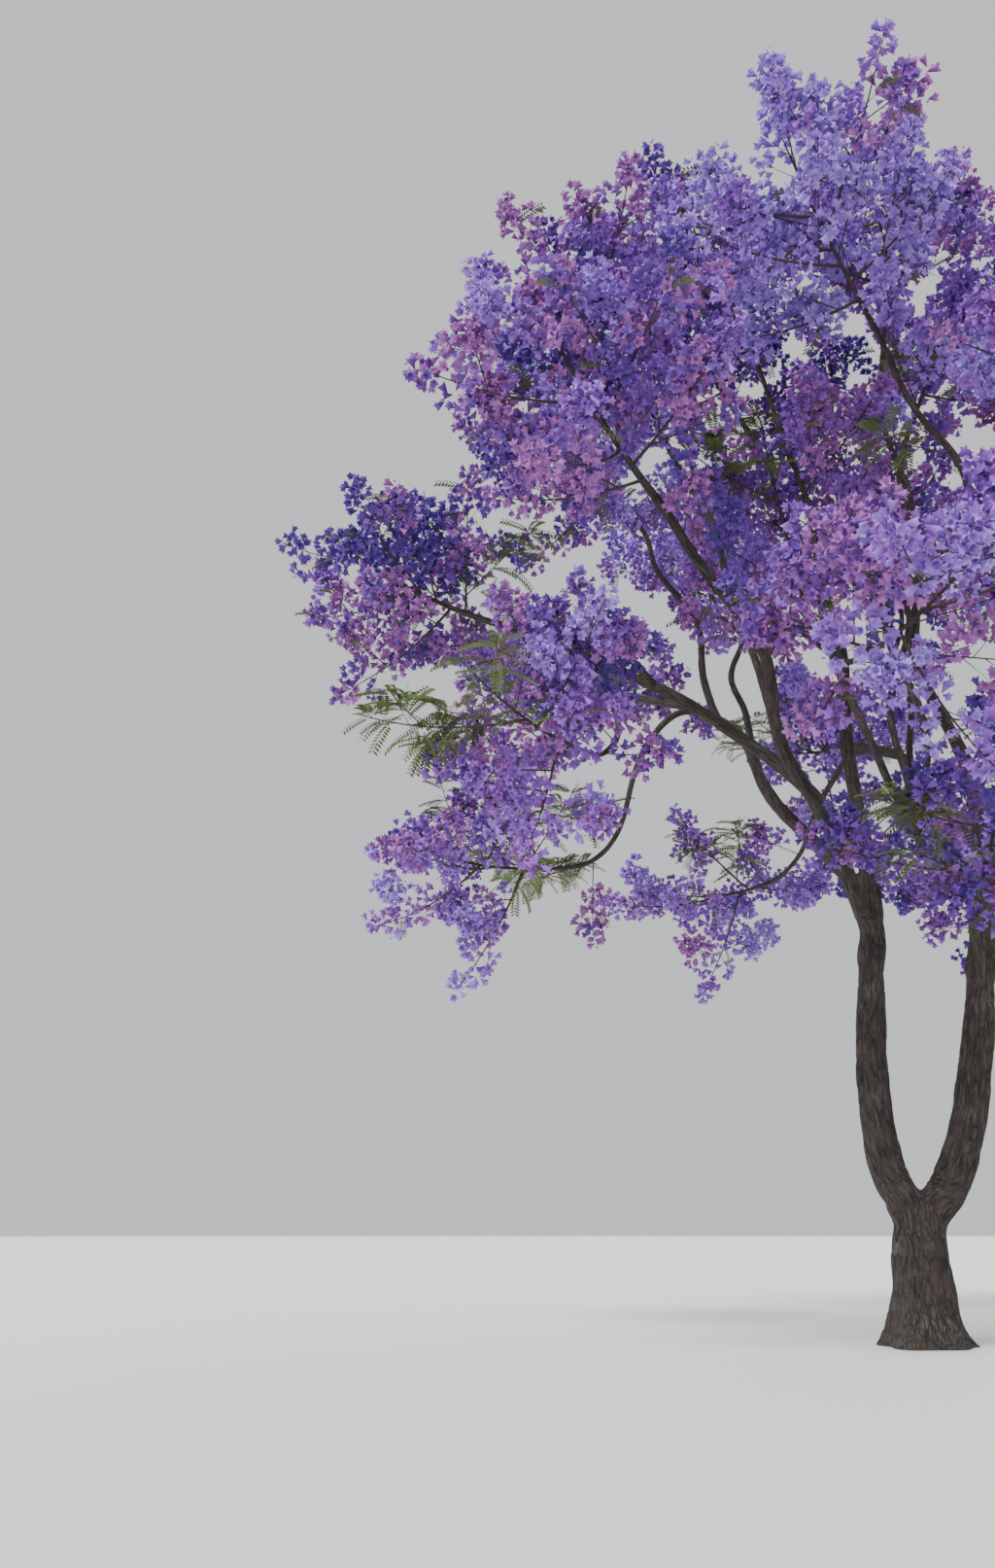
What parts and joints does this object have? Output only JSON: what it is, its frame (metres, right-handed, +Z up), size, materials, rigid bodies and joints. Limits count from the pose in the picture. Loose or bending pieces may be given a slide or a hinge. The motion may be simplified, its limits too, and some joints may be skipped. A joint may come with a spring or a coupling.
{
  "type": "jacaranda tree",
  "caption": "Whole flowering jacaranda tree: a flared trunk that forks low into tall stems, arching boughs and a broad open crown of violet blossom.",
  "frame": {"origin": "middle of the flat cut under the trunk, at ground level", "axes": "+Z straight up; +X to the right and +Y away from someone who looks at the tree from the front"},
  "size_m": [18.7649, 18.1022, 19.2168],
  "materials": {
    "bark": "dull, furrowed",
    "blossom": "soft, matt"
  },
  "bodies": {
    "root": {"bough_1": "bark", "bough_1_lower_bloom": "blossom", "bough_1_lower_limb": "bark", "bough_1_tip_bloom": "blossom", "bough_1_upper_bloom": "blossom", "bough_1_upper_limb": "bark", "bough_2": "bark", "bough_2_lower_bloom": "blossom", "bough_2_lower_limb": "bark", "bough_2_tip_bloom": "blossom", "bough_2_upper_bloom": "blossom", "bough_2_upper_limb": "bark", "bough_3": "bark", "bough_3_lower_bloom": "blossom", "bough_3_lower_limb": "bark", "bough_3_tip_bloom": "blossom", "bough_3_upper_bloom": "blossom", "bough_3_upper_limb": "bark", "bough_4": "bark", "bough_4_lower_bloom": "blossom", "bough_4_lower_limb": "bark", "bough_4_tip_bloom": "blossom", "bough_4_upper_bloom": "blossom", "bough_4_upper_limb": "bark", "bough_5": "bark", "bough_5_lower_bloom": "blossom", "bough_5_lower_limb": "bark", "bough_5_tip_bloom": "blossom", "bough_5_upper_bloom": "blossom", "bough_5_upper_limb": "bark", "bough_6": "bark", "bough_6_lower_bloom": "blossom", "bough_6_lower_limb": "bark", "bough_6_tip_bloom": "blossom", "bough_6_upper_bloom": "blossom", "bough_6_upper_limb": "bark", "bough_7": "bark", "bough_7_lower_bloom": "blossom", "bough_7_lower_limb": "bark", "bough_7_tip_bloom": "blossom", "bough_7_upper_bloom": "blossom", "bough_7_upper_limb": "bark", "front_bloom": "blossom", "front_limb": "bark", "heart_bloom": "blossom", "heart_limb": "bark", "left_leader": "bark", "left_leader_tip_bloom": "blossom", "left_stem": "bark", "middle_back_bloom": "blossom", "middle_back_limb": "bark", "middle_bough": "bark", "middle_left_bloom": "blossom", "middle_left_limb": "bark", "middle_right_bloom": "blossom", "middle_right_limb": "bark", "right_leader": "bark", "right_leader_tip_bloom": "blossom", "right_stem": "bark", "trunk": "bark"}
  },
  "joints": []
}
